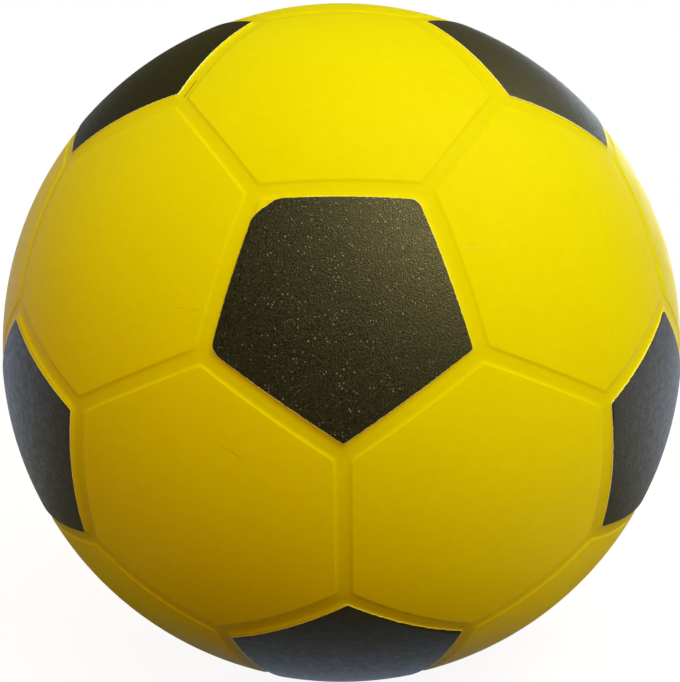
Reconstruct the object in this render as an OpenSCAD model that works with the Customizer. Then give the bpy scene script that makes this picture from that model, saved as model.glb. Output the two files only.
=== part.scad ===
// Moulded foam soccer ball: a soft cellular core inside one dense skin.
// Seam channels in the skin mark out twenty hexagons and twelve pentagons,
// and each raised pentagon carries a film of black paint.
// The origin is the ball's centre. +Z passes through the middle of a hexagon,
// and -Y is the side of the front pentagon. All sizes are in millimetres.

/* [Ball] */
// Diameter over the faces of the panels
ball_d = 200; // [150:1:240]
// Thickness of the dense skin over the foam core
skin_t = 1.2; // [0.6:0.1:3]

/* [Seam channels] */
// Depth of a channel below the faces of the panels
seam_depth = 0.8; // [0.8:0.1:2]
// Width of the floor of a channel
seam_floor_w = 2.4; // [1.2:0.1:5]
// How far a side wall leans back between the floor and the face of the panel
wall_run = 1.1; // [0.4:0.1:1.5]

/* [Paint] */
// Thickness of the black paint film
paint_t = 0.15; // [0.1:0.01:0.4]
// Bare rim between the edge of the film and the edge of the pentagon
paint_rim = 0.15; // [0:0.05:3]

/* [Hidden] */
$fn = 128;

// Radii of the panel faces and of the channel floors
face_r = ball_d / 2;
floor_r = face_r - seam_depth;
// Depth that a panel is rooted in the ball under it
root = 0.2;

// Lean of a channel wall, as run over rise
wall_lean = wall_run / seam_depth;
// What a channel gains in half width inside the skin, for an even thickness
inner_widening = skin_t * (sqrt(1 + wall_lean * wall_lean) - wall_lean);
// Distance from the middle of a seam to the edge of the paint
paint_edge = seam_floor_w / 2 + wall_run + paint_rim;

golden_ratio = (1 + sqrt(5)) / 2;
// Angle from a panel's middle to the middle of its sides, for panels whose edges are all equally long
function side_angle(count) = asin(1 / (3 * golden_ratio * tan(180 / count)));
// Angle that a panel's blank spans, where no panel's corner is over 24 degrees from its middle
blank_angle = 30;

// Angles from +Z to the four rings of three pentagons
crown_angle = acos(sqrt((5 + 2 * sqrt(5)) / 15));
shoulder_angle = acos(sqrt((5 - 2 * sqrt(5)) / 15));
waist_angle = 180 - shoulder_angle;
base_angle = 180 - crown_angle;

// Pentagons: name, angle from +Z, and angle round +Z from the front to the right
PENTAGONS = [
    ["black_pentagon_front", shoulder_angle, 0],
    ["black_pentagon_right", waist_angle, 60],
    ["black_pentagon_left", waist_angle, 300],
    ["black_pentagon_top_right", crown_angle, 60],
    ["black_pentagon_top_left", crown_angle, 300],
    ["black_pentagon_top_rear", crown_angle, 180],
    ["black_pentagon_rear_right", shoulder_angle, 120],
    ["black_pentagon_rear_left", shoulder_angle, 240],
    ["black_pentagon_rear", waist_angle, 180],
    ["black_pentagon_bottom_front", base_angle, 0],
    ["black_pentagon_bottom_right", base_angle, 120],
    ["black_pentagon_bottom_left", base_angle, 240],
];

function unit(v) = v / norm(v);

// Direction at an angle from +Z, turned from the front towards the right
function direction(tilt, turn) = [sin(tilt) * sin(turn), -sin(tilt) * cos(turn), cos(tilt)];

pentagons = [for (p = PENTAGONS) direction(p[1], p[2])];
last = len(pentagons) - 1;

// Neighbouring pentagons are about 63 degrees apart, and all others are over 90
function are_neighbours(p, q) = p != q && p * q > 0.2;
function a_neighbour(p) = [for (q = pentagons) if (are_neighbours(p, q)) q][0];

// Hexagons, each the three pentagons round it
hexagons = [
    for (i = [0 : last], j = [i + 1 : 1 : last], k = [j + 1 : 1 : last])
        let (p = pentagons[i], q = pentagons[j], r = pentagons[k])
            if (are_neighbours(p, q) && are_neighbours(q, r) && are_neighbours(r, p)) [p, q, r]
];

// Turns +Z to a panel's middle, with +X on the side of another direction
module place(middle, towards) {
    x = unit(towards - (towards * middle) * middle);
    y = cross(middle, x);
    multmatrix([
        [x[0], y[0], middle[0], 0],
        [x[1], y[1], middle[1], 0],
        [x[2], y[2], middle[2], 0],
        [0, 0, 0, 1],
    ]) children();
}

// A pentagon has a corner towards each of its neighbours
module place_pentagon(p) {
    place(p, a_neighbour(p)) rotate(180) children();
}

// A hexagon has a side towards each pentagon round it
module place_hexagon(h) {
    place(unit(h[0] + h[1] + h[2]), h[0]) children();
}

// Cap of a spherical shell over +Z, wider than any panel
module blank(outer_r, inner_r) {
    intersection() {
        rotate([0, 90, 0])
            difference() {
                sphere(outer_r);
                sphere(inner_r);
            }
        cylinder(r = outer_r * sin(blank_angle), h = 2 * outer_r);
    }
}

// Blank trimmed along its sides, one after another, by a solid that stands on the plane of a side
module trimmed_blank(outer_r, inner_r, count, side) {
    if (side == 0)
        blank(outer_r, inner_r);
    else
        intersection() {
            trimmed_blank(outer_r, inner_r, count, side - 1) children();
            rotate([0, side_angle(count) - 90, side * 360 / count]) children();
        }
}

// Panel's side of a seam, inside the cone of the channel's leaning wall.
// The cone starts below the panel's root and ends past the far side of the panel,
// and its seam line lies on the far side of the ball.
module seam_side(top_r, bottom_r, half_floor) {
    low_h = half_floor - 2 * root * wall_lean;
    low_r = bottom_r - 2 * root;
    height = top_r;
    rotate(180)
        translate([0, 0, low_h])
            cylinder(r1 = low_r, r2 = low_r + height / wall_lean, h = height);
}

// Raised panel with a number of equal sides
module panel(count, top_r, bottom_r, half_floor) {
    trimmed_blank(top_r, bottom_r - root, count, count)
        seam_side(top_r, bottom_r, half_floor);
}

// Ball with raised panels and seam channels
module panelled_ball(top_r, bottom_r, half_floor) {
    sphere(bottom_r);
    for (p = pentagons)
        place_pentagon(p) panel(5, top_r, bottom_r, half_floor);
    for (h = hexagons)
        place_hexagon(h) panel(6, top_r, bottom_r, half_floor);
}

// Space inside the skin
module inside() {
    panelled_ball(face_r - skin_t, floor_r - skin_t, seam_floor_w / 2 + inner_widening);
}

// Cellular foam that fills the skin
module foam_core() {
    color("khaki") inside();
}

// Dense yellow skin with the channels moulded into it
module moulded_skin() {
    color("gold")
        difference() {
            panelled_ball(face_r, floor_r, seam_floor_w / 2);
            inside();
        }
}

// Film of black paint on the face of one raised pentagon
module paint_film(p) {
    color("darkslategray")
        place_pentagon(p)
            trimmed_blank(face_r + paint_t, face_r, 5, 5)
                translate([-ball_d, -ball_d, paint_edge])
                    cube(2 * ball_d);
}

foam_core();
moulded_skin();
for (i = [0 : last])
    paint_film(pentagons[i]);
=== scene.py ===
import math

import bpy
from mathutils import Matrix, Vector


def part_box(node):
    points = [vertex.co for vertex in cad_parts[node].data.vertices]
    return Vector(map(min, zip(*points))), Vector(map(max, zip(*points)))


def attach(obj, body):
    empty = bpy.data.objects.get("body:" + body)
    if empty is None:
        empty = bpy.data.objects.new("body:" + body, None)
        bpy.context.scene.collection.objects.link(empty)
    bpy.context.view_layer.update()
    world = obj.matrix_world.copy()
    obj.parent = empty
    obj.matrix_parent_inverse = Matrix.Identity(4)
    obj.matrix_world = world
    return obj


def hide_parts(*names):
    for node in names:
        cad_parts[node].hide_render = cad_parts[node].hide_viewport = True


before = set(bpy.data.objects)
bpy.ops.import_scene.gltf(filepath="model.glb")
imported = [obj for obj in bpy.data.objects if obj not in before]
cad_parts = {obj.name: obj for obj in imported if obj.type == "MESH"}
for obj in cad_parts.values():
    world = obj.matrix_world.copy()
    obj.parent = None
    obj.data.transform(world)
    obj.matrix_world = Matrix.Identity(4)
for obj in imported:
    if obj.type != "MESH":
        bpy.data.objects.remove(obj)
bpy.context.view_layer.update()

scene = bpy.context.scene
scene.view_settings.view_transform = "Standard"

MM = 0.001

# Sizes of the ball in metres, with its radii taken from the frame
FACE_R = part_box("moulded_skin")[1].z
CORE_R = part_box("foam_core")[1].z
CORE_GAP = 0.02 * MM
# Waviness of the whole skin, and how often it comes and goes along one radius
UNEVENNESS = 0.05 * MM
UNEVEN_SCALE = 5.0
# Heights of the panels over the floors of the channels, and distances from a seam to the panels' edges
PENTAGON_RISE = 0.52 * MM
PENTAGON_EDGE = 2.45 * MM
HEXAGON_RISE = 0.32 * MM
HEXAGON_EDGE = 2.15 * MM
# How late the round hollow of a channel rises to the edge of a panel, and how softly it ends there
PENTAGON_HOLLOW = 3.0
HEXAGON_HOLLOW = 4.5
EDGE_EASING = 0.07
# Rounding of the hollows where channels meet
CORNER_ROUND = 0.7 * MM
# Thickness of the paint, the share of it at the very edge, and how far in it is at its full thickness
PAINT_T = 0.15 * MM
EDGE_PAINT = 0.35
EDGE_PAINT_RUN = 0.4 * MM
# Unevenness of the paint's outline, and how often it comes and goes along a radian of it
RAGGED_EDGE = 0.3 * MM
RAGGED_SCALE = 45.0

PENTAGON_SIDES = 5
HEXAGON_SIDES = 6
# Share of a panel's rows of faces that lie in its channel, and the reach of these rows in edge distances
ROWS_IN_CHANNEL = 0.47
CHANNEL_REACH = 1.25
# How close together a film's rows of faces stand along its edge, as a share of even rows
CLOSE_ROWS = 0.27
# Distances within which points become one: between panels on a ball of radius 1, and on a film in metres
PANEL_WELD = 1e-4
FILM_WELD = 1e-6

# The picture that the camera takes, in pixels, and where the ball's middle lies in it
PICTURE_W = 680
PICTURE_H = 682
MIDDLE_X = 341.66
MIDDLE_Y = 341.99
# Camera's distance from the ball's middle, its height and roll in degrees, and its focal length in pixels
CAMERA_DISTANCE = 0.3953
CAMERA_HEIGHT = 6.08
CAMERA_ROLL = -0.556
FOCAL_PIXELS = 1298.6
SENSOR = 36.0

GOLDEN = (1 + math.sqrt(5)) / 2
# Angles in degrees from +Z to the four rings of three pentagons
CROWN = math.degrees(math.acos(math.sqrt((5 + 2 * math.sqrt(5)) / 15)))
SHOULDER = math.degrees(math.acos(math.sqrt((5 - 2 * math.sqrt(5)) / 15)))
WAIST = 180 - SHOULDER
BASE = 180 - CROWN


def direction(tilt, turn):
    """Direction at a tilt from +Z, turned from the front towards the right, both in degrees."""
    tilt = math.radians(tilt)
    turn = math.radians(turn)
    return Vector((math.sin(tilt) * math.sin(turn), -math.sin(tilt) * math.cos(turn), math.cos(tilt)))


# Middles of the pentagons, by the paint's name
PENTAGONS = {
    "front": direction(SHOULDER, 0),
    "right": direction(WAIST, 60),
    "left": direction(WAIST, 300),
    "top_right": direction(CROWN, 60),
    "top_left": direction(CROWN, 300),
    "top_rear": direction(CROWN, 180),
    "rear_right": direction(SHOULDER, 120),
    "rear_left": direction(SHOULDER, 240),
    "rear": direction(WAIST, 180),
    "bottom_front": direction(BASE, 0),
    "bottom_right": direction(BASE, 120),
    "bottom_left": direction(BASE, 240),
}


def are_neighbours(one, other):
    """Neighbouring pentagons are about 63 degrees apart, and all others are over 90."""
    return one != other and one.dot(other) > 0.2


# Camera


def make_camera():
    """Camera at the photograph's viewing angle, with a shift as small as its framing needs."""
    lens = bpy.data.cameras.new("camera")
    lens.lens = FOCAL_PIXELS / PICTURE_H * SENSOR
    lens.sensor_width = SENSOR
    lens.shift_x = (PICTURE_W / 2 - MIDDLE_X) / PICTURE_H
    lens.shift_y = (MIDDLE_Y - PICTURE_H / 2) / PICTURE_H
    back = direction(90 - CAMERA_HEIGHT, 0)
    camera = bpy.data.objects.new("camera", lens)
    turn = back.to_track_quat("Z", "Y").to_matrix() @ Matrix.Rotation(math.radians(CAMERA_ROLL), 3, "Z")
    camera.matrix_world = Matrix.Translation(back * CAMERA_DISTANCE) @ turn.to_4x4()
    scene.collection.objects.link(camera)
    scene.camera = camera
    return camera


camera = make_camera()


def on_ball(pixel_x, pixel_y):
    """Point of the panels' sphere that the camera sees at a pixel."""
    ray = Vector((pixel_x - MIDDLE_X, MIDDLE_Y - pixel_y, -FOCAL_PIXELS))
    ray = (camera.matrix_world.to_3x3() @ ray).normalized()
    eye = camera.matrix_world.translation
    along = eye.dot(ray)
    return eye - ray * (along + math.sqrt(along * along - eye.length_squared + FACE_R * FACE_R))


# Wiring of node trees


class Wiring:
    """Adds nodes to one tree, and sets or links their inputs."""

    def __init__(self, tree):
        self.tree = tree

    def join(self, value, socket):
        """Links another node's output to a socket, or sets the socket's own value."""
        if isinstance(value, bpy.types.NodeSocket):
            self.tree.links.new(value, socket)
        else:
            socket.default_value = value

    def node(self, kind, inputs=(), **settings):
        """New node, with inputs by place or by name."""
        made = self.tree.nodes.new(kind)
        for name, value in settings.items():
            setattr(made, name, value)
        pairs = inputs.items() if isinstance(inputs, dict) else enumerate(inputs)
        for key, value in pairs:
            self.join(value, made.inputs[key])
        return made

    def add(self, kind, inputs=(), **settings):
        """First output of a new node."""
        return self.node(kind, inputs, **settings).outputs[0]

    def math(self, operation, *values):
        return self.add("ShaderNodeMath", values, operation=operation)

    def product(self, first, *others):
        for other in others:
            first = self.math("MULTIPLY", first, other)
        return first

    def vector(self, operation, *values):
        return self.add("ShaderNodeVectorMath", values, operation=operation)

    def length(self, value):
        return self.node("ShaderNodeVectorMath", [value], operation="LENGTH").outputs["Value"]

    def dot(self, one, other):
        return self.node("ShaderNodeVectorMath", [one, other], operation="DOT_PRODUCT").outputs["Value"]

    def stretch(self, value, factor):
        return self.add("ShaderNodeVectorMath", {0: value, 3: factor}, operation="SCALE")

    def parts(self, value):
        return self.node("ShaderNodeSeparateXYZ", [value]).outputs

    def ramp(self, value, start, end, low=0.0, high=1.0):
        """Eases from low to high while a value goes from start to end."""
        values = [value, start, end, low, high]
        return self.add("ShaderNodeMapRange", values, interpolation_type="SMOOTHSTEP")

    def noise(self, place, scale, detail=2.0, roughness=0.5):
        inputs = {"Vector": place, "Scale": scale, "Detail": detail, "Roughness": roughness}
        return self.add("ShaderNodeTexNoise", inputs)

    def swing(self, place, scale, detail=2.0):
        """Noise that swings about zero, between -1 and 1."""
        return self.math("MULTIPLY", self.math("SUBTRACT", self.noise(place, scale, detail), 0.5), 2.0)

    def blend(self, share, one, other):
        """Colour that passes from one to another."""
        return self.node("ShaderNodeMix", {0: share, 6: one, 7: other}, data_type="RGBA").outputs[2]

    def darken(self, colour, shade):
        """Colour times a plain number."""
        grey = self.add("ShaderNodeCombineColor", [shade, shade, shade])
        inputs = {0: 1.0, 6: colour, 7: grey}
        return self.node("ShaderNodeMix", inputs, data_type="RGBA", blend_type="MULTIPLY").outputs[2]


def new_tree(name, sizes):
    """Geometry tree with a mesh in, named inputs for its sizes, and a mesh out."""
    tree = bpy.data.node_groups.new(name, "GeometryNodeTree")
    tree.interface.new_socket("Middles", in_out="INPUT", socket_type="NodeSocketGeometry")
    for label, kind in sizes.items():
        tree.interface.new_socket(label, in_out="INPUT", socket_type="NodeSocket" + kind)
    tree.interface.new_socket("Geometry", in_out="OUTPUT", socket_type="NodeSocketGeometry")
    wiring = Wiring(tree)
    return wiring, wiring.node("NodeGroupInput").outputs


def end_tree(w, mesh, material):
    """Ends a tree with a whole mesh in its material."""
    whole = w.add("GeometryNodeRealizeInstances", [mesh])
    painted = w.add("GeometryNodeSetMaterial", {"Geometry": whole, "Material": material})
    w.node("NodeGroupOutput", [painted])
    return w.tree


def moved(w, mesh, place, chosen=True):
    """Mesh with its points, or the chosen ones, at new places."""
    return w.add("GeometryNodeSetPosition", {"Geometry": mesh, "Selection": chosen, "Position": place})


def joined(w, meshes):
    """Several meshes as one."""
    made = w.node("GeometryNodeJoinGeometry")
    for mesh in meshes:
        w.join(mesh, made.inputs[0])
    return made.outputs[0]


def keep(w, mesh, name, value):
    """Keeps a value on each point of a mesh under a name."""
    inputs = {"Geometry": mesh, "Name": name, "Value": value}
    return w.add("GeometryNodeStoreNamedAttribute", inputs, data_type="FLOAT", domain="POINT")


def kept(w, name, kind="FLOAT"):
    """Value that a mesh keeps on its points under a name."""
    return w.add("GeometryNodeInputNamedAttribute", [name], data_type=kind)


# Shapes of the moulding


def side_angle(sides):
    """Angle from a panel's middle to the middle of its sides."""
    return math.asin(1 / (3 * GOLDEN * math.tan(math.pi / sides)))


def fold_to_side(w, place, sides):
    """A flat place's reach from the middle, and its angle from the middle of the nearest side."""
    x, y, _ = w.parts(place)
    step = 2 * math.pi / sides
    turn = w.math("ARCTAN2", y, x)
    folded = w.math("SUBTRACT", w.math("FLOORED_MODULO", turn, step), step / 2)
    return w.length(place), folded


def fan_of_rows(w, sides, detail):
    """Flat fan of faces; and for each point its place, its reach towards the side, and its row.

    The row is 0 on the outline and 1 in the middle.
    """
    disc = w.add("GeometryNodeMeshCircle", {"Vertices": sides, "Radius": 1.0}, fill_type="TRIANGLE_FAN")
    fan = w.add("GeometryNodeSubdivideMesh", {"Mesh": disc, "Level": detail})
    flat = w.add("GeometryNodeInputPosition")
    reach, folded = fold_to_side(w, flat, sides)
    along = w.math("MULTIPLY", reach, w.math("COSINE", folded))
    row = w.math("SUBTRACT", 1.0, w.math("DIVIDE", along, math.cos(math.pi / sides)))
    return fan, flat, along, row


def seam_distance(w, place, sides, ball_r, corner_round):
    """Distance along the ball from a place on a panel's flat map to the seams, eased round the corners."""
    step = 2 * math.pi / sides
    edge = side_angle(sides)
    reach, folded = fold_to_side(w, place, sides)
    away = w.math("SUBTRACT", step, w.math("ABSOLUTE", folded))
    radius = w.math("SQRT", w.math("MULTIPLY_ADD", reach, reach, 1.0))

    def distance(angle):
        short = w.math("SUBTRACT", math.tan(edge), w.math("MULTIPLY", reach, w.math("COSINE", angle)))
        sine = w.math("DIVIDE", w.math("MULTIPLY", short, math.cos(edge)), radius)
        return w.math("MULTIPLY", w.math("ARCSINE", sine), ball_r)

    return w.math("SMOOTH_MIN", distance(folded), distance(away), corner_round)


def lifted(w, place):
    """Direction of a place on a panel's flat map, which touches the ball at the panel's middle."""
    x, y, _ = w.parts(place)
    return w.vector("NORMALIZE", w.add("ShaderNodeCombineXYZ", [x, y, 1.0]))


def moulded_height(w, place, sides, sizes):
    """Share of a panel's rise, as a round hollow from the seam to the panel's edge; and the height."""
    shape = "Pentagon" if sides == PENTAGON_SIDES else "Hexagon"
    hollow = PENTAGON_HOLLOW if sides == PENTAGON_SIDES else HEXAGON_HOLLOW
    seam = seam_distance(w, place, sides, sizes["Face radius"], sizes["Corner round"])
    reach = w.math("SMOOTH_MIN", w.math("DIVIDE", seam, sizes[shape + " edge"]), 1.0, EDGE_EASING)
    share = w.math("POWER", reach, hollow)
    return share, w.math("MULTIPLY", share, sizes[shape + " rise"])


def moulded_point(w, height, sizes):
    """Point of the moulded surface in the present direction, at a height over the channels' floors."""
    way = w.vector("NORMALIZE", w.add("GeometryNodeInputPosition"))
    uneven = w.math("MULTIPLY", w.swing(way, UNEVEN_SCALE, detail=3.0), sizes["Unevenness"])
    floor_r = w.math("SUBTRACT", sizes["Face radius"], sizes["Pentagon rise"])
    return w.stretch(way, w.math("ADD", floor_r, w.math("ADD", height, uneven)))


def place_on(w, middles, mesh):
    """A panel or film on each middle, with its first corner towards the middle's own corner."""
    axes = [kept(w, "middle", "FLOAT_VECTOR"), kept(w, "corner", "FLOAT_VECTOR")]
    turn = w.add("FunctionNodeAxesToRotation", axes, primary_axis="Z", secondary_axis="X")
    placed = w.add("GeometryNodeInstanceOnPoints", {"Points": middles, "Instance": mesh, "Rotation": turn})
    return w.add("GeometryNodeRealizeInstances", [placed])


# How fast the painted shade beside paint fades over the channel, and how softly it ends at a hexagon's
# corners
SHADE_FADE = 3.0
SHADE_ENDS = 0.3


def beside_paint(w, place, sides, hollow):
    """1 on a pentagon, fading out over the channel along those sides of a hexagon that face a pentagon."""
    if sides == PENTAGON_SIDES:
        return 1.0
    x, y, _ = w.parts(place)
    # A hexagon's first side faces another hexagon, its second a pentagon, and so on round
    wave = w.math("SINE", w.math("MULTIPLY", w.math("ARCTAN2", y, x), sides / 2))
    facing_paint = w.ramp(wave, -SHADE_ENDS, SHADE_ENDS, 1.0, 0.0)
    return w.math("MULTIPLY", w.math("POWER", hollow, SHADE_FADE), facing_paint)


def panel(w, sides, sizes):
    """One panel as directions from the ball's middle, with rows packed together in the channel."""
    edge = side_angle(sides)
    fan, flat, along, row = fan_of_rows(w, sides, sizes["Detail"])
    # Rows are even across the channel, and then spread towards the middle
    in_channel = sizes["Rows in channel"]
    mouth = w.math("MULTIPLY", sizes["Pentagon edge"], CHANNEL_REACH)
    even = w.math("DIVIDE", w.math("DIVIDE", mouth, in_channel), sizes["Face radius"])
    past = w.math("MAXIMUM", w.math("SUBTRACT", row, in_channel), 0.0)
    rest = w.math("SUBTRACT", 1.0, in_channel)
    spread = w.math("DIVIDE", w.math("SUBTRACT", edge, even), w.product(rest, rest))
    inset = w.math("ADD", w.product(even, row), w.product(spread, w.product(past, past)))
    tangent = w.math("TANGENT", w.math("SUBTRACT", edge, inset))
    laid = moved(w, fan, w.stretch(flat, w.math("DIVIDE", tangent, along)))
    flat_map = w.add("GeometryNodeInputPosition")
    share, height = moulded_height(w, flat_map, sides, sizes)
    hollow = w.math("SUBTRACT", 1.0, share)
    laid = keep(w, laid, "hollow", hollow)
    laid = keep(w, laid, "beside_paint", beside_paint(w, flat_map, sides, hollow))
    laid = keep(w, laid, "height", height)
    return moved(w, laid, lifted(w, flat_map))


PENTAGON_SIZES = {
    "Face radius": "Float",
    "Pentagon rise": "Float",
    "Pentagon edge": "Float",
    "Corner round": "Float",
    "Unevenness": "Float",
    "Detail": "Int",
}
BALL_SIZES = {
    **PENTAGON_SIZES,
    "Hexagon rise": "Float",
    "Hexagon edge": "Float",
    "Rows in channel": "Float",
}


def make_panelled_ball():
    """Closed ball of twenty hexagons and twelve pentagons with moulded seam channels."""
    w, sizes = new_tree("Panelled ball", BALL_SIZES)
    sides = kept(w, "sides", "INT")
    panels = []
    for count in (PENTAGON_SIDES, HEXAGON_SIDES):
        wanted = w.add("FunctionNodeCompare", {2: sides, 3: count}, data_type="INT", operation="EQUAL")
        chosen = w.add("GeometryNodeSeparateGeometry", [sizes["Middles"], wanted], domain="POINT")
        panels.append(place_on(w, chosen, panel(w, count, sizes)))
    inputs = {"Geometry": joined(w, panels), "Distance": PANEL_WELD}
    closed = w.add("GeometryNodeMergeByDistance", inputs)
    shaped = moved(w, closed, moulded_point(w, kept(w, "height"), sizes))
    smooth = w.add("GeometryNodeSetShadeSmooth", [shaped])
    w.node("NodeGroupOutput", [smooth])
    return w.tree


def ball_in(w, ball, sizes, **changed):
    """The panelled ball inside another tree, with some of its sizes changed."""
    inputs = {label: sizes[label] for label in ["Middles", *BALL_SIZES]}
    inputs.update(changed)
    made = w.node("GeometryNodeGroup", node_tree=ball)
    for label, value in inputs.items():
        w.join(value, made.inputs[label])
    return made.outputs[0]


def make_skin_tree(ball):
    """Skin with its inner wall one thickness below the moulded surface."""
    extra = {"Skin thickness": "Float", "Inner detail": "Int", "Material": "Material"}
    w, sizes = new_tree("Moulded skin", {**BALL_SIZES, **extra})
    outside = ball_in(w, ball, sizes)
    inner_r = w.math("SUBTRACT", sizes["Face radius"], sizes["Skin thickness"])
    inside = ball_in(w, ball, sizes, **{"Face radius": inner_r, "Detail": sizes["Inner detail"]})
    walls = joined(w, [outside, w.add("GeometryNodeFlipFaces", [inside])])
    return end_tree(w, walls, sizes["Material"])


def make_foam_tree(ball):
    """Foam that fills the skin."""
    w, sizes = new_tree("Foam core", {**BALL_SIZES, "Material": "Material"})
    return end_tree(w, ball_in(w, ball, sizes), sizes["Material"])


# Shapes of the paint


# A film's shape in millimetres: the insets of its sides from the seams, how much each inset grows along
# its side, the easing of its corners, and straight cuts across them, from the corners of the seams.
# The first corner is the one towards the lowest neighbour, and the rest follow counter-clockwise.
PLAIN_FILM = {
    "Inset": (2.5,) * PENTAGON_SIDES,
    "Slant": (0.0,) * PENTAGON_SIDES,
    "Corner": (1.2,) * PENTAGON_SIDES,
    "Cut": (0.0,) * PENTAGON_SIDES,
}
FILM_SHAPES = {
    "front": {
        "Inset": (2.23, 2.4, 2.4, 1.92, 2.38),
        "Slant": (-0.3, 0.9, -0.45, 0.1, 0.4),
        "Corner": (0.6, 0.6, 0.9, 1.6, 5.0),
        "Cut": (0.0, 0.0, 4.2, 5.4, 0.0),
    },
    "right": {
        "Inset": (2.4, 2.5, 4.45, 1.93, 2.28),
        "Slant": (0.0, 0.0, -2.5, 0.25, 0.9),
        "Corner": (1.2, 1.2, 1.2, 1.2, 0.6),
    },
    "left": {"Inset": (2.8, 3.27, 2.3, 2.5, 1.9), "Slant": (-0.3, 1.0, -0.2, 0.0, 0.0)},
    "top_right": {"Inset": (1.9, 2.5, 3.2, 3.1, 2.2), "Slant": (0.0, 0.0, 0.0, 1.2, 0.4)},
    "top_left": {"Inset": (2.5, 2.4, 1.8, 2.5, 2.15), "Slant": (0.6, 1.1, 0.0, 0.0, 0.0)},
    "bottom_front": {"Inset": (2.0, 1.7, 2.95, 2.7, 2.5), "Slant": (-0.4, 0.55, 0.6, -0.3, 0.0)},
}
# How much wear and painted glints a film shows: full on the front film, where the light glints, and little
# on the others
FRONT_WEAR_AND_GLINTS = 1.0
OTHERS_WEAR_AND_GLINTS = 0.12
# Keeps the line of a side that faces away at a finite distance
LEAST_FACING = 0.1


def numbered(label):
    """Names of the five sizes of one kind that a film has."""
    return [f"{label} {place + 1}" for place in range(PENTAGON_SIDES)]


FILM_SIZES = {
    **PENTAGON_SIZES,
    "Thickness": "Float",
    "Ragged edge": "Float",
    "Wear and glints": "Float",
    "Seed": "Float",
    **{name: "Float" for label in PLAIN_FILM for name in numbered(label)},
    "Material": "Material",
}


def corner_easing(w, turn, step, sizes):
    """Easing of the film's corner that is nearest to an angle."""
    nearest = w.math("ROUND", w.math("DIVIDE", turn, step))
    nearest = w.math("FLOORED_MODULO", nearest, float(PENTAGON_SIDES))
    switch = w.node("GeometryNodeIndexSwitch", data_type="FLOAT")
    while len(switch.index_switch_items) < PENTAGON_SIDES:
        switch.index_switch_items.new()
    w.join(w.add("FunctionNodeFloatToInt", [nearest]), switch.inputs[0])
    for corner, name in enumerate(numbered("Corner")):
        w.join(sizes[name], switch.inputs[corner + 1])
    return switch.outputs[0]


def film_reach(w, flat, sizes):
    """Reach of a film's edge from its middle, in ball radii, in the direction of a flat place."""
    x, y, _ = w.parts(flat)
    turn = w.math("ARCTAN2", y, x)
    step = 2 * math.pi / PENTAGON_SIDES
    side = side_angle(PENTAGON_SIDES)

    def in_radii(size):
        return w.math("DIVIDE", size, sizes["Face radius"])

    def line_reach(distance, angle):
        facing = w.math("COSINE", w.math("SUBTRACT", turn, angle))
        return w.math("DIVIDE", distance, w.math("MAXIMUM", facing, LEAST_FACING))

    side_length = w.math("MULTIPLY", sizes["Face radius"], 2 * math.tan(side) * math.tan(step / 2))
    lines = []
    for place, (inset, slant) in enumerate(zip(numbered("Inset"), numbered("Slant"))):
        distance = w.math("TANGENT", w.math("SUBTRACT", side, in_radii(sizes[inset])))
        turned = w.math("DIVIDE", sizes[slant], side_length)
        lines.append(line_reach(distance, w.math("ADD", turned, (place + 0.5) * step)))
    # A straight cut across a corner stands back from the corner of the seams
    for place, cut in enumerate(numbered("Cut")):
        distance = w.math("SUBTRACT", math.tan(side) / math.cos(step / 2), in_radii(sizes[cut]))
        lines.append(line_reach(distance, place * step))
    easing = in_radii(corner_easing(w, turn, step, sizes))
    reach = lines[0]
    for line in lines[1:]:
        reach = w.math("SMOOTH_MIN", reach, line, easing)
    return reach


def flat_film(w, sizes):
    """Film on its pentagon's flat map, with each point's distance from the edge kept on it."""
    fan, flat, _, row = fan_of_rows(w, PENTAGON_SIDES, sizes["Detail"])
    inset = w.math("ADD", w.product(row, CLOSE_ROWS), w.product(row, row, 1 - CLOSE_ROWS))
    way = w.vector("NORMALIZE", flat)
    own_place = w.add("ShaderNodeCombineXYZ", [0.0, 0.0, sizes["Seed"]])
    round_film = w.vector("ADD", w.stretch(way, RAGGED_SCALE), own_place)
    ragged = w.math("MULTIPLY", w.swing(round_film, 1.0), sizes["Ragged edge"])
    edge = w.math("ADD", film_reach(w, flat, sizes), w.math("DIVIDE", ragged, sizes["Face radius"]))
    inward = w.product(edge, inset, sizes["Face radius"])
    fan = keep(w, fan, "inward", inward)
    fan = keep(w, fan, "wear_and_glints", sizes["Wear and glints"])
    return moved(w, fan, w.stretch(way, w.math("MULTIPLY", edge, w.math("SUBTRACT", 1.0, inset))))


def make_film_tree():
    """Thin closed film of paint on a pentagon, with eased or cut corners and a ragged edge."""
    w, sizes = new_tree("Paint film", FILM_SIZES)
    flat_map = w.add("GeometryNodeInputPosition")
    _, moulded = moulded_height(w, flat_map, PENTAGON_SIDES, sizes)
    known = keep(w, flat_film(w, sizes), "height", moulded)
    placed = place_on(w, sizes["Middles"], moved(w, known, lifted(w, flat_map)))
    height = kept(w, "height")
    under = moved(w, placed, moulded_point(w, height, sizes))
    inputs = {"Mesh": under, "Offset Scale": sizes["Thickness"], "Individual": False}
    raised = w.node("GeometryNodeExtrudeMesh", inputs, mode="FACES").outputs
    # The paint thins out towards its edge
    full = w.ramp(kept(w, "inward"), 0.0, EDGE_PAINT_RUN, EDGE_PAINT, 1.0)
    lifted_height = w.math("ADD", height, w.math("MULTIPLY", full, sizes["Thickness"]))
    top = moved(w, raised["Mesh"], moulded_point(w, lifted_height, sizes), raised["Top"])
    walls = joined(w, [top, w.add("GeometryNodeFlipFaces", [under])])
    closed = w.add("GeometryNodeMergeByDistance", {"Geometry": walls, "Distance": FILM_WELD})
    smooth = w.add("GeometryNodeSetShadeSmooth", [closed])
    return end_tree(w, smooth, sizes["Material"])


# Meshes made by the trees


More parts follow.
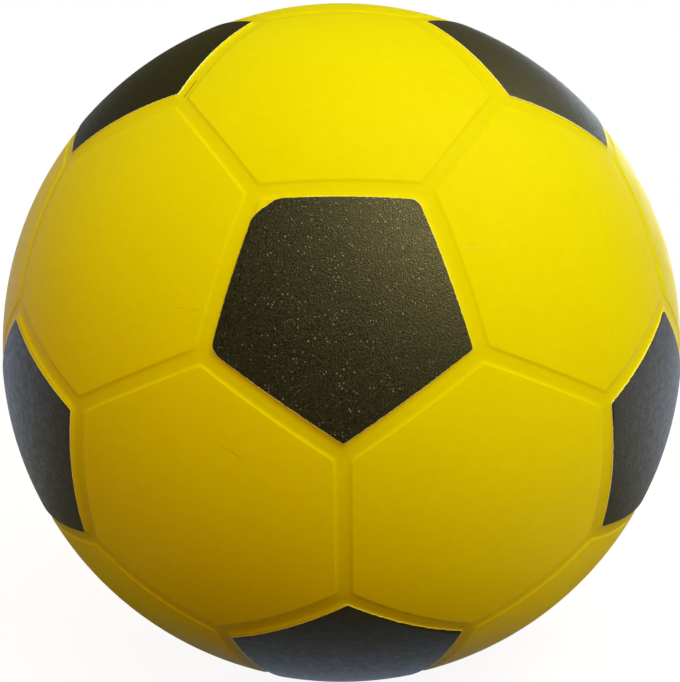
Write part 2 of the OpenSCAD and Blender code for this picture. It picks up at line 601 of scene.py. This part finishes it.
def middles_mesh(name, rows):
    """Points at the ball's centre, each with a panel's middle and corner as directions, and its sides."""
    mesh = bpy.data.meshes.new(name)
    mesh.from_pydata([(0.0, 0.0, 0.0)] * len(rows), [], [])
    for label, kind in (("middle", "FLOAT_VECTOR"), ("corner", "FLOAT_VECTOR"), ("sides", "INT")):
        mesh.attributes.new(label, kind, "POINT")
    for place, (middle, corner, sides) in enumerate(rows):
        mesh.attributes["middle"].data[place].vector = middle.normalized()
        mesh.attributes["corner"].data[place].vector = corner.normalized()
        mesh.attributes["sides"].data[place].value = sides
    return mesh


def pentagon_row(middle, neighbour):
    """A pentagon has a corner towards each of its neighbours."""
    return middle, 2 * middle + neighbour, PENTAGON_SIDES


def all_panels():
    """Every pentagon, and every hexagon between three pentagons that are all neighbours."""
    points = list(PENTAGONS.values())
    rows = [pentagon_row(p, next(q for q in points if are_neighbours(p, q))) for p in points]
    for i, p in enumerate(points):
        for j, q in enumerate(points[:i]):
            for r in points[:j]:
                if are_neighbours(p, q) and are_neighbours(q, r) and are_neighbours(r, p):
                    # The first side lies between p and the next pentagon round, counter-clockwise
                    following = q if p.cross(q).dot(r) > 0 else r
                    rows.append((p + q + r, 2 * p + following, HEXAGON_SIDES))
    return rows


def settle(name, tree, seed, values):
    """Runs a tree on a seed mesh, and keeps the result as a plain mesh on an object of its own."""
    maker = bpy.data.objects.new(name + "_maker", seed)
    scene.collection.objects.link(maker)
    modifier = maker.modifiers.new("Shape", "NODES")
    modifier.node_group = tree
    for item in tree.interface.items_tree:
        if item.in_out == "INPUT" and item.name in values:
            modifier[item.identifier] = values[item.name]
    evaluated = maker.evaluated_get(bpy.context.evaluated_depsgraph_get())
    mesh = bpy.data.meshes.new_from_object(evaluated)
    mesh.name = name
    bpy.data.objects.remove(maker)
    piece = bpy.data.objects.new(name, mesh)
    scene.collection.objects.link(piece)
    return piece


# Finishes


def new_finish(name, **constants):
    """Material with a principled shader, whose constant values sit on its own sockets."""
    finish = bpy.data.materials.new(name)
    finish.use_nodes = True
    w = Wiring(finish.node_tree)
    shader = finish.node_tree.nodes["Principled BSDF"]
    for label, value in constants.items():
        shader.inputs[label.replace("_", " ")].default_value = value
    place = w.node("ShaderNodeTexCoord").outputs["Object"]
    return finish, w, shader, place


def from_shape(w, name):
    """Value that the shape keeps on its points, for a finish."""
    return w.node("ShaderNodeAttribute", attribute_name=name).outputs["Fac"]


def bump(w, height, distance):
    return w.add("ShaderNodeBump", {"Strength": 1.0, "Distance": distance, "Height": height})


# Size of the smallest spot against the largest, and the part of a spot or of a line that is full
LEAST_SPOT = 0.3
SPOT_CORE = 0.4
LINE_CORE = 0.2


def spots(w, place, scale, radius, share):
    """Small round spots, one in the given share of the cells of a pattern; and a random value for each."""
    cells = w.node("ShaderNodeTexVoronoi", {"Vector": place, "Scale": scale})
    lot = w.parts(cells.outputs["Color"])
    chosen = w.math("LESS_THAN", lot[0], share)
    size = w.math("MULTIPLY", w.math("MULTIPLY_ADD", lot[1], 1 - LEAST_SPOT, LEAST_SPOT), radius * scale)
    near = w.ramp(w.math("DIVIDE", cells.outputs["Distance"], size), SPOT_CORE, 1.0, 1.0, 0.0)
    return w.math("MULTIPLY", near, chosen), lot[2]


def line_between(w, place, start, end, half_width):
    """Mask of a fine line between two points of the surface."""
    run = end - start
    offset = w.vector("SUBTRACT", place, start[:])
    share = w.math("DIVIDE", w.dot(offset, run[:]), run.length_squared)
    nearest = w.stretch(run[:], w.add("ShaderNodeClamp", [share]))
    distance = w.length(w.vector("SUBTRACT", offset, nearest))
    return w.ramp(distance, LINE_CORE * half_width, half_width, 1.0, 0.0)


# Ends of small marks in the skin, in pixels: a slit, a stray dot of paint, creases and scratches
SLIT = ((183.2, 95.5), (195.4, 78.9))
STRAY_DOT = ((463.0, 628.1), (463.6, 628.1))
CREASES = [
    ((218.6, 445.8), (240.5, 459.0)),
    ((176.3, 308.6), (183.5, 309.3)),
    ((189.7, 311.2), (197.0, 310.8)),
]
SCRATCHES = [
    ((463.0, 247.0), (495.0, 247.0)),
    ((451.0, 521.0), (469.0, 513.5)),
]


def marks(w, place, ends, half_width):
    """Mask of several fine lines, each between two pixels of the picture."""
    on_sphere = w.stretch(w.vector("NORMALIZE", place), FACE_R)
    mask = 0.0
    for start, end in ends:
        line = line_between(w, on_sphere, on_ball(*start), on_ball(*end), half_width)
        mask = w.math("MAXIMUM", mask, line)
    return mask


def skin_shade(w, place):
    """Darkness of the skin: a fine mottle of its own tone, painted shade in the channels, and painted shade
    along the films on the lower half.
    """
    mottle = w.ramp(w.noise(place, scale=420.0, detail=3.0), 0.25, 0.75, 0.985, 1.01)
    # Painted shade: darker on the floors of the channels
    channels = w.ramp(from_shape(w, "hollow"), 0.0, 1.0, 1.0, 0.955)
    # Painted shade: darker beside the films, growing towards the bottom
    low = w.ramp(w.parts(place)[2], -50.0 * MM, 0.0, 0.18, 0.0)
    painted_film_shade = w.math("MULTIPLY", from_shape(w, "beside_paint"), low)
    return w.product(mottle, channels, w.math("SUBTRACT", 1.0, painted_film_shade))


def yellow_skin_finish():
    """Satin yellow skin, a little cloudy, with painted shade in its channels and beside the films low down,
    a few small marks, pinholes, and a fine grain; the pinholes, creases and slit are darkened with painted
    shade.
    """
    finish, w, shader, place = new_finish(
        "yellow_skin", Specular_IOR_Level=0.09, Specular_Tint=(0.2, 0.155, 0.01, 1.0))
    clouds = w.ramp(w.noise(place, scale=22.0, detail=3.0), 0.3, 0.7)
    colour = w.blend(clouds, (0.85, 0.752, 0.0, 1.0), (0.865, 0.775, 0.0, 1.0))
    colour = w.darken(colour, skin_shade(w, place))
    pinholes, _ = spots(w, place, scale=150.0, radius=0.25 * MM, share=0.2)
    creases = marks(w, place, CREASES, half_width=0.4 * MM)
    scratches = marks(w, place, SCRATCHES, half_width=0.26 * MM)
    slit = marks(w, place, [SLIT], half_width=0.32 * MM)
    stray_dot = marks(w, place, [STRAY_DOT], half_width=0.4 * MM)
    # Pinholes, creases and the slit are darkened with painted shade; the scratches are paler and the stray
    # dot is black paint
    layers = [
        (pinholes, 0.3, (0.55, 0.38, 0.0, 1.0)),
        (creases, 0.1, (0.45, 0.3, 0.0, 1.0)),
        (scratches, 0.07, (0.95, 0.9, 0.25, 1.0)),
        (slit, 0.75, (0.22, 0.11, 0.0, 1.0)),
        (stray_dot, 0.9, (0.02, 0.018, 0.01, 1.0)),
    ]
    for mask, strength, layer in layers:
        colour = w.blend(w.math("MULTIPLY", mask, strength), colour, layer)
    w.join(colour, shader.inputs["Base Color"])
    sheen = w.ramp(w.noise(place, scale=160.0, detail=3.0), 0.3, 0.7, 0.44, 0.52)
    w.join(sheen, shader.inputs["Roughness"])
    grain = w.math("MULTIPLY", w.noise(place, scale=2400.0), 0.25)
    waves = w.math("MULTIPLY", w.noise(place, scale=260.0, detail=3.0), 0.75)
    dents = w.math("MULTIPLY", w.math("ADD", pinholes, creases), 1.5)
    height = w.math("SUBTRACT", w.math("ADD", grain, waves), dents)
    w.join(bump(w, height, 0.03 * MM), shader.inputs["Normal"])
    return finish


def speck_share(w, place):
    """Share of cells with a speck: small at the sides, and large at the bottom and at the upper right,
    where more of the specks stand for painted glints.
    """
    side, _, height = w.parts(place)
    across = w.ramp(w.math("ABSOLUTE", side), 2.0 * MM, 28.0 * MM, 0.66, 0.3)
    bottom = w.ramp(height, -26.0 * MM, -2.0 * MM, 3.6, 1.0)
    upper_right = w.ramp(w.math("ADD", side, height), 38.0 * MM, 60.0 * MM, 1.0, 3.6)
    return w.product(across, bottom, upper_right)


def paint_edge_colour_and_highlight(w, place):
    """Colour of the paint's thin edge, made paler where it faces down as a painted highlight."""
    normal = w.node("ShaderNodeNewGeometry").outputs["Normal"]
    lean = w.math("SUBTRACT", w.parts(normal)[2], w.parts(w.vector("NORMALIZE", place))[2])
    return w.blend(w.ramp(lean, -0.12, 0.04), (0.9, 0.92, 0.3, 1.0), (0.87, 0.79, 0.03, 1.0))


def black_paint_finish():
    """Warm black paint with a leathery grain, a thin pale rim, and pale specks, partly wear and partly
    painted glints, mostly on the front film.
    """
    finish, w, shader, place = new_finish("black_paint", Specular_IOR_Level=0.9)
    wear_and_glints = from_shape(w, "wear_and_glints")
    flecks = w.ramp(w.noise(place, scale=2200.0, roughness=0.6), 0.35, 0.65, -1.0, 1.0)
    contrast = w.math("MULTIPLY_ADD", wear_and_glints, 0.4, 0.1)
    pattern = w.math("MULTIPLY_ADD", flecks, contrast, 0.5)
    colour = w.blend(pattern, (0.001, 0.0009, 0.0005, 1.0), (0.029, 0.026, 0.0125, 1.0))
    share = speck_share(w, place)
    specks, lot = spots(w, place, scale=1300.0, radius=0.3 * MM, share=share)
    # Specks differ in strength, and are stronger where there are many, where they are mostly painted glints
    bright = w.product(w.math("MULTIPLY_ADD", lot, 0.8, 0.2), w.math("MULTIPLY_ADD", share, 0.7, 0.3))
    pale = w.product(specks, wear_and_glints, bright)
    colour = w.blend(pale, colour, (0.36, 0.345, 0.25, 1.0))
    # A thin pale yellow rim along the paint's edge, with a painted highlight where it faces down
    rim = w.ramp(from_shape(w, "inward"), 0.2 * MM, 0.33 * MM, 1.0, 0.0)
    colour = w.blend(rim, colour, paint_edge_colour_and_highlight(w, place))
    w.join(colour, shader.inputs["Base Color"])
    sheen = w.ramp(w.noise(place, scale=500.0, detail=3.0), 0.3, 0.7, 0.44, 0.54)
    w.join(sheen, shader.inputs["Roughness"])
    cells = w.node("ShaderNodeTexVoronoi", {"Vector": place, "Scale": 2600.0}, feature="SMOOTH_F1")
    domes = w.math("MULTIPLY", cells.outputs["Distance"], -1.0)
    grain = w.math("ADD", domes, w.noise(place, scale=3500.0, detail=3.0))
    height = w.math("MULTIPLY_ADD", pale, 1.5, grain)
    w.join(bump(w, height, 0.095 * MM), shader.inputs["Normal"])
    return finish


def foam_finish():
    """Soft pale foam with open cells, darker in their hollows with painted shade."""
    finish, w, shader, place = new_finish("cellular_foam", Specular_IOR_Level=0.2)
    cells = w.node("ShaderNodeTexVoronoi", {"Vector": place, "Scale": 900.0}, feature="F1")
    walls = w.ramp(cells.outputs["Distance"], 0.2, 0.7)
    # The hollows of the open cells are darker: painted shade
    colour = w.blend(walls, (0.50, 0.40, 0.10, 1.0), (0.86, 0.76, 0.36, 1.0))
    w.join(colour, shader.inputs["Base Color"])
    w.join(w.ramp(walls, 0.0, 1.0, 0.95, 0.8), shader.inputs["Roughness"])
    w.join(bump(w, walls, 0.3 * MM), shader.inputs["Normal"])
    return finish


# Pieces of the ball


# Levels of detail of the meshes
SKIN_DETAIL = 5
INNER_DETAIL = 3
FOAM_DETAIL = 4
FILM_DETAIL = 6


def dress(piece, node):
    """A finished piece stands for its CAD node, and rides on the ball's one body."""
    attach(piece, "root")
    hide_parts(node)


panelled_ball = make_panelled_ball()
panel_middles = middles_mesh("panel_middles", all_panels())
moulding = {
    "Face radius": FACE_R,
    "Pentagon rise": PENTAGON_RISE,
    "Pentagon edge": PENTAGON_EDGE,
    "Hexagon rise": HEXAGON_RISE,
    "Hexagon edge": HEXAGON_EDGE,
    "Corner round": CORNER_ROUND,
    "Unevenness": UNEVENNESS,
    "Rows in channel": ROWS_IN_CHANNEL,
}

skin = settle("skin", make_skin_tree(panelled_ball), panel_middles, {
    **moulding,
    "Detail": SKIN_DETAIL,
    "Skin thickness": FACE_R - CORE_R,
    "Inner detail": INNER_DETAIL,
    "Material": yellow_skin_finish(),
})
dress(skin, "moulded_skin")

foam = settle("foam", make_foam_tree(panelled_ball), panel_middles, {
    **moulding,
    "Face radius": CORE_R - CORE_GAP,
    "Detail": FOAM_DETAIL,
    "Material": foam_finish(),
})
dress(foam, "foam_core")

film_tree = make_film_tree()
black_paint = black_paint_finish()
for order, (name, middle) in enumerate(PENTAGONS.items()):
    neighbours = [q for q in PENTAGONS.values() if are_neighbours(middle, q)]
    lowest = min(neighbours, key=lambda q: round(q.z, 6))
    shape = {**PLAIN_FILM, **FILM_SHAPES.get(name, {})}
    film = settle("paint_" + name, film_tree, middles_mesh(name, [pentagon_row(middle, lowest)]), {
        **moulding,
        "Detail": FILM_DETAIL,
        "Thickness": PAINT_T,
        "Ragged edge": RAGGED_EDGE,
        "Wear and glints": FRONT_WEAR_AND_GLINTS if name == "front" else OTHERS_WEAR_AND_GLINTS,
        "Seed": float(order),
        **{label: size * MM for kind, row in shape.items() for label, size in zip(numbered(kind), row)},
        "Material": black_paint,
    })
    dress(film, "black_pentagon_" + name)


# Floor, world and lamps


WHITE = (1.0, 1.0, 1.0, 1.0)
# Light on the colours of the pieces, from all sides and from the left behind the ball
AMBIENT_LIGHT = (0.51, 0.223, 0.08, 1.0)
LEFT_LIGHT = (0.6, 0.6, 0.4, 1.0)
# What a gloss shows: a dim room, a pale backdrop, and the floor beside the ball and right under it
ROOM_LIGHT = (0.1, 0.088, 0.022, 1.0)
BACKDROP_LIGHT = (0.92, 1.04, 1.3, 1.0)
BESIDE_LIGHT = (1.0, 0.95, 0.62, 1.0)
UNDER_LIGHT = (0.8, 1.0, 1.35, 1.0)
# How much higher the backdrop is on the right
BACKDROP_SLOPE = 0.34
# Colours that the floor bounces back: where the ball keeps the light off, and where it is lit
SHADED_FLOOR = (0.05, 0.04, 0.03, 1.0)
LIT_FLOOR = (0.9, 0.9, 0.8, 1.0)
# The floor to the camera: a glow that is nearly white, and a little grey that takes the shadow
FLOOR_GLOW = 0.92
FLOOR_GREY = (0.15, 0.15, 0.15, 1.0)
FLOOR_HALF = 1.0
LAMP_DISTANCE = 1.2


def ray_shares(w):
    """1 for rays from the camera, and 1 for rays from a gloss or through a clear piece."""
    rays = w.node("ShaderNodeLightPath").outputs
    return rays["Is Camera Ray"], w.math("MAXIMUM", rays["Is Glossy Ray"], rays["Is Transmission Ray"])


# A floor point's side, depth and reach are in metres from right under the ball's middle
def bounced_floor(w, side, reach):
    """Floor that lights the pieces: bright on both sides of the ball, more so on the right, else dark."""
    beside = w.ramp(w.math("ABSOLUTE", side), 0.05, 0.11)
    to_right = w.ramp(side, -0.1, 0.1, 0.45, 1.0)
    near = w.ramp(reach, 0.17, 0.31, 1.0, 0.0)
    colour = w.blend(w.product(beside, to_right, near), SHADED_FLOOR, LIT_FLOOR)
    return w.add("ShaderNodeBsdfDiffuse", {"Color": colour})


def mirrored_floor(w, side, depth, reach):
    """Floor in a gloss: pale right under the ball, dim round that and in front, pale beside and behind."""
    close = w.blend(w.ramp(reach, 0.0, 0.085), UNDER_LIGHT, ROOM_LIGHT)
    slanted = w.math("MULTIPLY_ADD", side, 0.1, depth)
    distant = w.blend(w.ramp(slanted, -0.1, 0.25), BESIDE_LIGHT, BACKDROP_LIGHT)
    away = w.math("MULTIPLY", w.ramp(reach, 0.06, 0.3), w.ramp(slanted, -0.15, 0.3))
    strength = w.ramp(side, 0.1, 0.4, 1.0, 1.3)
    return w.add("ShaderNodeEmission", {"Color": w.blend(away, close, distant), "Strength": strength})


def make_floor():
    """Plain pale floor under the ball: to the camera it is nearly white, with a faint shadow."""
    mesh = bpy.data.meshes.new("floor")
    corners = [(-1, -1), (1, -1), (1, 1), (-1, 1)]
    mesh.from_pydata([(x * FLOOR_HALF, y * FLOOR_HALF, -FACE_R) for x, y in corners], [], [(0, 1, 2, 3)])
    floor = bpy.data.objects.new("floor", mesh)
    scene.collection.objects.link(floor)
    finish = bpy.data.materials.new("pale_floor")
    finish.use_nodes = True
    w = Wiring(finish.node_tree)
    finish.node_tree.nodes.remove(finish.node_tree.nodes["Principled BSDF"])
    from_camera, from_gloss = ray_shares(w)
    side, depth, _ = w.parts(w.node("ShaderNodeTexCoord").outputs["Object"])
    reach = w.length(w.add("ShaderNodeCombineXYZ", [side, depth, 0.0]))
    bounced = bounced_floor(w, side, reach)
    mirrored = mirrored_floor(w, side, depth, reach)
    lit = w.add("ShaderNodeMixShader", [from_gloss, bounced, mirrored])
    grey = w.add("ShaderNodeBsdfDiffuse", {"Color": FLOOR_GREY})
    glow = w.add("ShaderNodeEmission", {"Color": WHITE, "Strength": FLOOR_GLOW})
    seen = w.add("ShaderNodeAddShader", [grey, glow])
    mixed = w.add("ShaderNodeMixShader", [from_camera, lit, seen])
    w.join(mixed, finish.node_tree.nodes["Material Output"].inputs["Surface"])
    mesh.materials.append(finish)


def make_world():
    """White world to the camera, weak warm light on the pieces, and a dim room with a backdrop in gloss."""
    world = bpy.data.worlds.new("studio")
    scene.world = world
    world.use_nodes = True
    w = Wiring(world.node_tree)
    world.node_tree.nodes.remove(world.node_tree.nodes["Background"])
    from_camera, from_gloss = ray_shares(w)
    side, depth, height = w.parts(w.node("ShaderNodeTexCoord").outputs["Generated"])
    slope = w.math("MULTIPLY", w.math("MAXIMUM", side, 0.0), BACKDROP_SLOPE)
    low = w.ramp(w.math("SUBTRACT", w.math("ABSOLUTE", height), slope), 0.1, 0.38, 1.0, 0.0)
    behind = w.ramp(depth, 0.2, 0.8)
    mirrored = w.blend(w.math("MULTIPLY", low, behind), ROOM_LIGHT, BACKDROP_LIGHT)
    left_behind = w.ramp(w.math("SUBTRACT", depth, side), 0.5, 1.3)
    lit = w.blend(left_behind, AMBIENT_LIGHT, LEFT_LIGHT)
    colour = w.blend(from_camera, w.blend(from_gloss, lit, mirrored), WHITE)
    around = w.add("ShaderNodeBackground", {"Color": colour, "Strength": 1.0})
    w.join(around, world.node_tree.nodes["World Output"].inputs["Surface"])


def add_lamp(name, turn, height, size, level, colour, in_gloss=False):
    """Square soft lamp, turned from the front to the right and raised over the horizon, in degrees.

    Its level is the light that it gives. It either lights the colours of the pieces, or shows in
    their gloss.
    """
    lamp = bpy.data.lights.new(name, "AREA")
    lamp.size = size
    lamp.energy = level * math.pi ** 2 * LAMP_DISTANCE ** 2
    lamp.color = colour
    way = direction(90 - height, turn)
    holder = bpy.data.objects.new(name, lamp)
    holder.location = way * LAMP_DISTANCE
    holder.rotation_mode = "QUATERNION"
    holder.rotation_quaternion = way.to_track_quat("Z", "Y")
    holder.visible_glossy = in_gloss
    holder.visible_diffuse = not in_gloss
    holder.visible_camera = False
    scene.collection.objects.link(holder)


make_floor()
make_world()
add_lamp("key_lamp", turn=30, height=50, size=0.9, level=0.78, colour=(0.575, 0.97, 1.0))
add_lamp("fill_lamp", turn=15, height=14, size=0.5, level=0.24, colour=(1.0, 0.5, 0.2))
add_lamp("glint_lamp", turn=57, height=46, size=0.9, level=1.05, colour=(1.0, 0.86, 0.34), in_gloss=True)
add_lamp("rim_lamp", turn=160, height=4, size=0.6, level=0.42, colour=(0.85, 1.0, 1.0), in_gloss=True)
